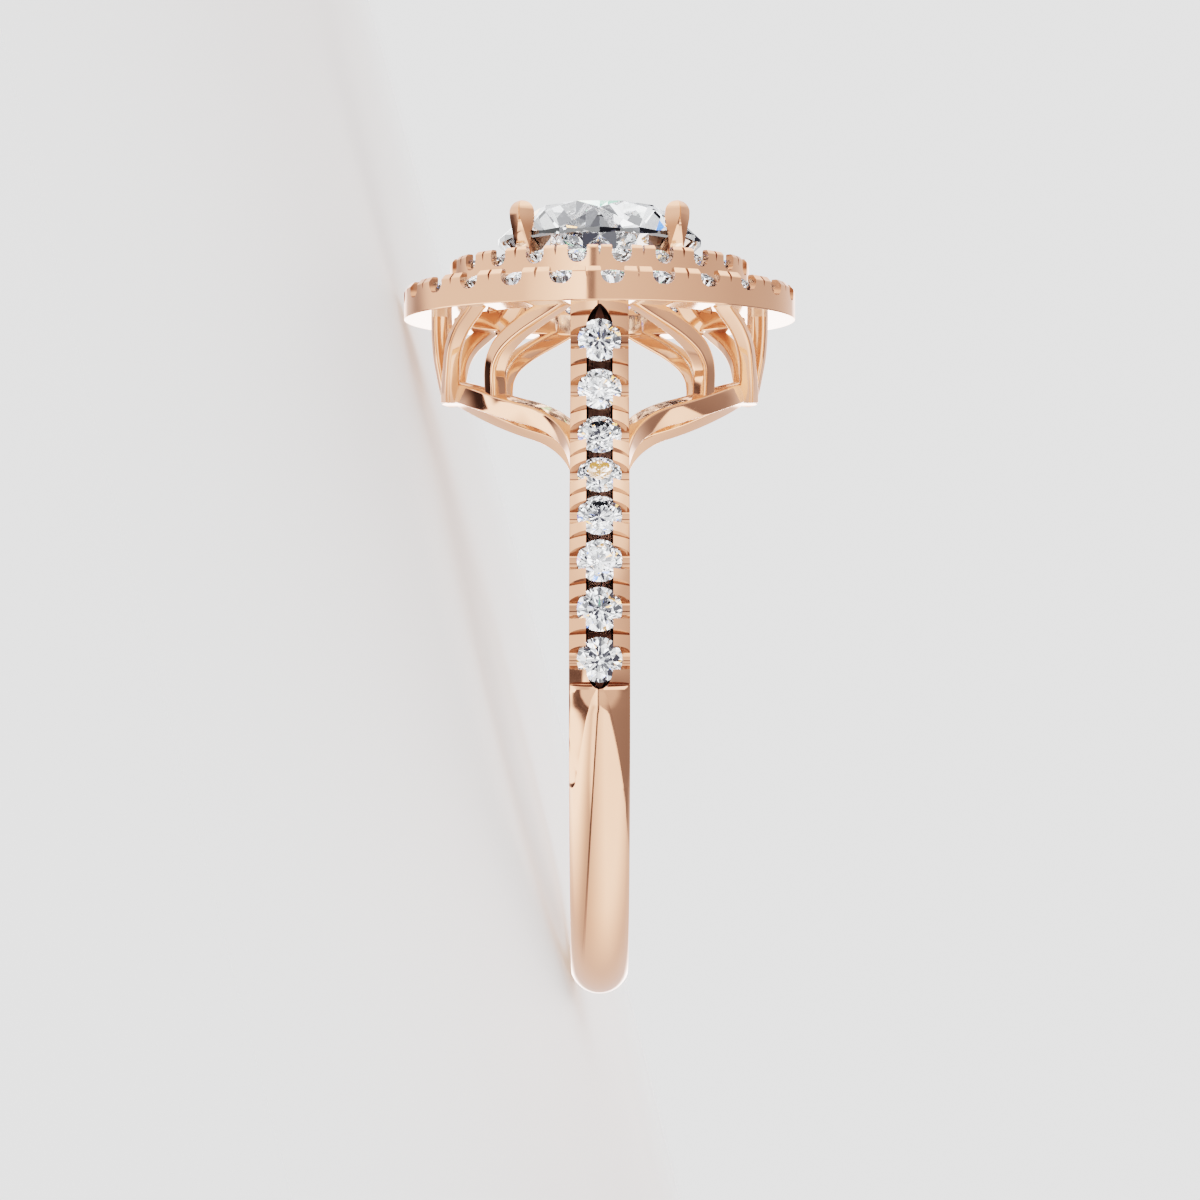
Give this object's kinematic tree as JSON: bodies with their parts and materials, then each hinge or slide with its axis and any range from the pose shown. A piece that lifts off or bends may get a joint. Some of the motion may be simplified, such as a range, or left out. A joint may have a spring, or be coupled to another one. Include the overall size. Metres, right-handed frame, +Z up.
{
  "type": "halo ring",
  "caption": "Finger ring with a cathedral shank, open gallery, two stepped round halos and one round brilliant in claws.",
  "frame": {"origin": "middle of the finger hole", "axes": "+Z up from the surface that the ring lies on, +Y from the head towards the bottom of the shank, +X along the surface across the ring"},
  "size_m": [0.0204, 0.0248, 0.0123],
  "materials": {
    "rose_gold": "polished rose gold",
    "clear_stone": "cut and polished clear stone"
  },
  "bodies": {
    "root": {"ring_body": "rose_gold", "center_stone": "clear_stone"}
  },
  "joints": []
}
